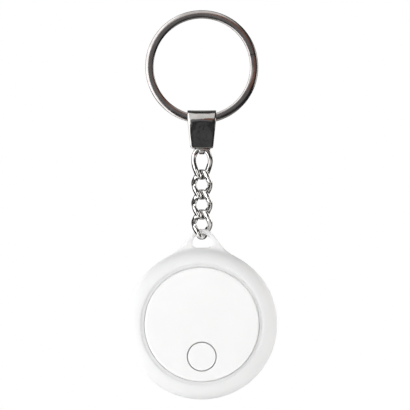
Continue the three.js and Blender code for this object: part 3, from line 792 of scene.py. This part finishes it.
def make_materials():
    """Each material slot's material, by name."""
    return {
        "ring_steel": metal("ring_steel", (0.36, 0.34, 0.33), (0.48, 0.46, 0.45), 0.1, 0.2),
        "strap_steel": metal(
            "strap_steel", (0.4, 0.39, 0.38), (0.52, 0.51, 0.5), 0.06, 0.14, grain=0.002,
            wave=0.06),
        "chain_chrome": metal(
            "chain_chrome", (0.76, 0.75, 0.73), (0.88, 0.87, 0.86), 0.04, 0.09, grain=0.0015),
        "frosted_frame": plastic(
            "frosted_frame", (0.753, 0.753, 0.753), (0.775, 0.775, 0.774), 0.34, 0.44,
            IOR=1.46, Subsurface_Weight=0.5, Subsurface_Scale=0.0025,
            Subsurface_Radius=SCATTER),
        "white_cover": plastic(
            "white_cover", (0.863, 0.862, 0.859), (0.883, 0.882, 0.879), 0.3, 0.4, **WHITE),
        "white_button": plastic(
            "white_button", (0.86, 0.859, 0.857), (0.88, 0.879, 0.877), 0.28, 0.38, **WHITE),
        "white_door": plastic(
            "white_door", (0.85, 0.85, 0.86), (0.89, 0.89, 0.89), 0.38, 0.5, grain=0.008, **WHITE),
        "seal_rubber": plastic("seal_rubber", (0.03, 0.03, 0.03), (0.05, 0.05, 0.05), 0.6, 0.8),
        "board_laminate": board_laminate(),
        "black_resin": plastic("black_resin", (0.02, 0.02, 0.02), (0.04, 0.04, 0.045), 0.45, 0.6),
        "can_metal": brushed("can_metal", (0.55, 0.56, 0.57), (0.68, 0.68, 0.69), 0.25, 0.4),
        "led_lens": plastic("led_lens", (0.85, 0.75, 0.35), (0.9, 0.86, 0.6), 0.15, 0.25),
        "capacitor_ceramic": plastic(
            "capacitor_ceramic", (0.3, 0.18, 0.1), (0.42, 0.28, 0.17), 0.4, 0.55),
        "plunger_plastic": plastic(
            "plunger_plastic", (0.02, 0.02, 0.02), (0.04, 0.04, 0.04), 0.4, 0.5),
        "cell_can": brushed("cell_can", (0.6, 0.6, 0.59), (0.75, 0.74, 0.73), 0.2, 0.35),
        "tray_plastic": plastic(
            "tray_plastic", (0.045, 0.045, 0.05), (0.07, 0.07, 0.075), 0.45, 0.6),
        "contact_bronze": brushed("contact_bronze", (0.6, 0.42, 0.22), (0.72, 0.55, 0.32), 0.2, 0.35),
        "screw_steel": metal("screw_steel", (0.5, 0.5, 0.49), (0.62, 0.62, 0.6), 0.25, 0.4),
        "sounder_brass": brushed("sounder_brass", (0.7, 0.5, 0.2), (0.8, 0.62, 0.3), 0.2, 0.35),
        "sounder_ceramic": plastic(
            "sounder_ceramic", (0.7, 0.68, 0.62), (0.8, 0.78, 0.72), 0.45, 0.6),
    }


def finish_nodes(materials, rebuilt):
    """Gives each CAD node that still shows the material of its slot. Every node of a rebuilt slot
    is hidden by its fine mesh."""
    for subpart in frame["record"]["subparts"]:
        slot_name = subpart["material_slot"]
        if slot_name in rebuilt:
            continue
        for slot in frame["nodes"][subpart["node"]].material_slots:
            slot.material = materials[slot_name]


# Stage

# What polished metal reflects. Each row is a direction, the angle in degrees from it within which
# the colour is full, the angle past which it is gone, and the colour. Later rows lie over earlier
# ones, and DARK is what none of them covers.
DARK = (0.035, 0.035, 0.037)
STUDIO = [
    ((0, -0.25, -1), 28, 52, (0.75, 0.72, 0.68)),
    ((0.85, -0.5, 0.1), 12, 20, (1.5, 1.47, 1.42)),
    ((0.6, -0.79, -0.1), 10, 14, (0.015, 0.015, 0.015)),
    ((-0.26, -0.69, 0.67), 26, 45, (1.2, 1.19, 1.17)),
    ((-0.06, -1, -0.02), 11, 20, (0.24, 0.24, 0.245)),
    ((0.17, -0.95, 0.24), 6, 13, (0.3, 0.15, 0.11)),
    ((0.02, -0.96, -0.28), 9, 16, (0.05, 0.05, 0.053)),
    ((0.02, -0.96, -0.25), 1, 5, (0.11, 0.11, 0.112)),
    ((-1, 0, -0.03), 71, 75, (2.5, 2.5, 2.52)),
    ((-0.78, -0.31, -0.55), 13, 16, (0.015, 0.015, 0.015)),
    ((0, 1, 0), 97, 110, (0.05, 0.05, 0.05)),
    ((0.7, 0.65, 0.3), 18, 24, (1.6, 1.6, 1.6)),
    ((-0.5, 0.85, -0.1), 14, 22, (1.2, 1.2, 1.2)),
    ((0.05, 0.75, 0.66), 10, 20, (0.5, 0.5, 0.5)),
]

# Each lamp's name, place, size, power and colour. They all point at the tag.
LAMPS = [
    ("key", (-0.8, -0.3, -0.12), 0.5, 5.9, (0.975, 0.985, 1)),
    ("fill", (0.8, -0.25, -0.1), 0.5, 4.1, (1, 0.99, 0.97)),
    ("front", (0, -0.8, -0.1), 0.5, 0.2, (1, 1, 1)),
    ("under", (-0.1, -0.3, -0.85), 0.4, 3.5, (1, 1, 1)),
    ("top", (0, -0.4, 0.65), 0.4, 0.3, (1, 1, 1)),
    ("back_left", (-0.65, 0.6, 0.1), 0.5, 4, (1, 1, 1)),
    ("back_right", (0.5, 0.75, -0.3), 0.5, 4, (1, 1, 1)),
]
AMBIENT = 0.29

# The floor's drop and radii are in millimetres.
FLOOR_DROP = 30
FLOOR_RADII = (520, 200, 50, 0.5)
FLOOR_SIDES = 96
FLOOR_GLOW = 0.35

# The camera's distance and shifts are in metres, and its sensor in millimetres.
CAMERA_DISTANCE = 1.2
CAMERA_SENSOR = 36
CAMERA_MARGIN = 1.0535
CAMERA_SIDE = 0.00085
CAMERA_DROP = 0.00005


class World:
    """A node tree for the world's light."""

    def __init__(self):
        scene_world = bpy.data.worlds.new("studio")
        bpy.context.scene.world = scene_world
        scene_world.use_nodes = True
        self.nodes = scene_world.node_tree.nodes
        self.links = scene_world.node_tree.links
        self.nodes.clear()
        self.direction = self.nodes.new("ShaderNodeTexCoord").outputs["Generated"]

    def lobe(self, towards, inner, outer):
        """1 within the inner angle of a direction, 0 past the outer one."""
        dot = self.nodes.new("ShaderNodeVectorMath")
        dot.operation = "DOT_PRODUCT"
        dot.inputs[1].default_value = Vector(towards).normalized()
        self.links.new(self.direction, dot.inputs[0])
        fade = self.nodes.new("ShaderNodeMapRange")
        fade.interpolation_type = "SMOOTHSTEP"
        fade.inputs["From Min"].default_value = math.cos(math.radians(outer))
        fade.inputs["From Max"].default_value = math.cos(math.radians(inner))
        self.links.new(dot.outputs["Value"], fade.inputs["Value"])
        return fade.outputs["Result"]

    def studio(self):
        """The colour of the studio in every direction."""
        sky = None
        for towards, inner, outer, colour in STUDIO:
            mix = self.nodes.new("ShaderNodeMix")
            mix.data_type = "RGBA"
            factor, below, over = mix.inputs[0], mix.inputs[6], mix.inputs[7]
            self.links.new(self.lobe(towards, inner, outer), factor)
            if sky is None:
                below.default_value = (*DARK, 1)
            else:
                self.links.new(sky, below)
            over.default_value = (*colour, 1)
            sky = mix.outputs[2]
        return sky

    def background(self, strength):
        """A white background of that strength."""
        node = self.nodes.new("ShaderNodeBackground")
        node.inputs["Color"].default_value = (1, 1, 1, 1)
        node.inputs["Strength"].default_value = strength
        return node


def world():
    """White to the camera, an even pale light to dull surfaces and a studio to polished ones."""
    light = World()
    studio = light.background(1)
    light.links.new(light.studio(), studio.inputs["Color"])
    path = light.nodes.new("ShaderNodeLightPath")
    shown = studio.outputs["Background"]
    for ray, strength in (("Is Diffuse Ray", AMBIENT), ("Is Camera Ray", 1)):
        pick = light.nodes.new("ShaderNodeMixShader")
        light.links.new(path.outputs[ray], pick.inputs[0])
        light.links.new(shown, pick.inputs[1])
        light.links.new(light.background(strength).outputs["Background"], pick.inputs[2])
        shown = pick.outputs[0]
    output = light.nodes.new("ShaderNodeOutputWorld")
    light.links.new(shown, output.inputs["Surface"])


def lamp(name, place, size, energy, colour):
    """An area lamp that points at the tag. Metal doesn't mirror it."""
    data = bpy.data.lights.new(name, "AREA")
    data.size = size
    data.energy = energy
    data.color = colour
    light = bpy.data.objects.new(name, data)
    light.location = place
    aim = Vector((0, 0, TAG_Z * MM)) - Vector(place)
    light.rotation_euler = aim.to_track_quat("-Z", "Y").to_euler()
    light.visible_glossy = False
    bpy.context.scene.collection.objects.link(light)


def floor_finish():
    """Pale and dull, and brighter towards the floor's rim, where it fades into the white."""
    finish = Finish("pale_floor", Base_Color=(0.9, 0.9, 0.9, 1), Emission_Color=(1, 1, 1, 1))
    finish.roughness(finish.noise(0.02), 0.75, 0.9)
    out = finish.node("ShaderNodeVectorMath")
    out.operation = "LENGTH"
    finish.link(finish.places, out.inputs[0])
    finish.spread(out.outputs["Value"], 0.15, 0.5, FLOOR_GLOW, 1, "Emission Strength")
    return finish.material


def floor(lowest):
    """A pale round floor under the hanging tag. Metal doesn't mirror it."""
    rings = [circle(radius, 0, FLOOR_SIDES, 0)[:, [0, 2, 1]] for radius in FLOOR_RADII]
    points = np.concatenate(rings)
    points[:, 2] = lowest / MM - FLOOR_DROP
    faces = []
    for start in range(0, len(points) - FLOOR_SIDES, FLOOR_SIDES):
        for k in range(FLOOR_SIDES):
            here, after = start + k, start + (k + 1) % FLOOR_SIDES
            faces.append((here, after, after + FLOOR_SIDES, here + FLOOR_SIDES))
    faces.append(tuple(range(len(points) - FLOOR_SIDES, len(points))))
    mesh = bpy.data.meshes.new("pale_floor")
    mesh.from_pydata([tuple(point) for point in points * MM], [], faces)
    mesh.materials.append(floor_finish())
    ground = bpy.data.objects.new("pale_floor", mesh)
    ground.visible_glossy = False
    bpy.context.scene.collection.objects.link(ground)


def camera(low, high):
    """A long lens straight at the front, framed as the tag hangs."""
    data = bpy.data.cameras.new("camera")
    data.sensor_width = CAMERA_SENSOR
    view_height = (high[2] - low[2]) * CAMERA_MARGIN
    data.lens = data.sensor_width * CAMERA_DISTANCE / view_height
    data.clip_end = 10
    eye = bpy.data.objects.new("camera", data)
    eye.location = (CAMERA_SIDE, -CAMERA_DISTANCE, (low[2] + high[2]) / 2 - CAMERA_DROP)
    eye.rotation_euler = (math.pi / 2, 0, 0)
    bpy.context.scene.collection.objects.link(eye)
    bpy.context.scene.camera = eye


def build():
    """The whole scene: camera, pieces, materials and stage."""
    camera(*cad_box)
    materials = make_materials()
    pieces = {
        "ring_steel": [split_ring()],
        "strap_steel": [folded_strap()],
        "chain_chrome": [curb_link(number) for number in range(1, LINK_COUNT + 1)],
        "frosted_frame": [frosted_case()],
        "white_cover": [front_disc()],
        "white_button": [push_button()],
        "white_door": [coin_door()],
    }
    for slot, group in pieces.items():
        for piece in group:
            piece.data.materials.append(materials[slot])
    finish_nodes(materials, pieces)
    world()
    for row in LAMPS:
        lamp(*row)
    floor(cad_box[0][2])
    bpy.context.scene.view_settings.view_transform = "Standard"


build()
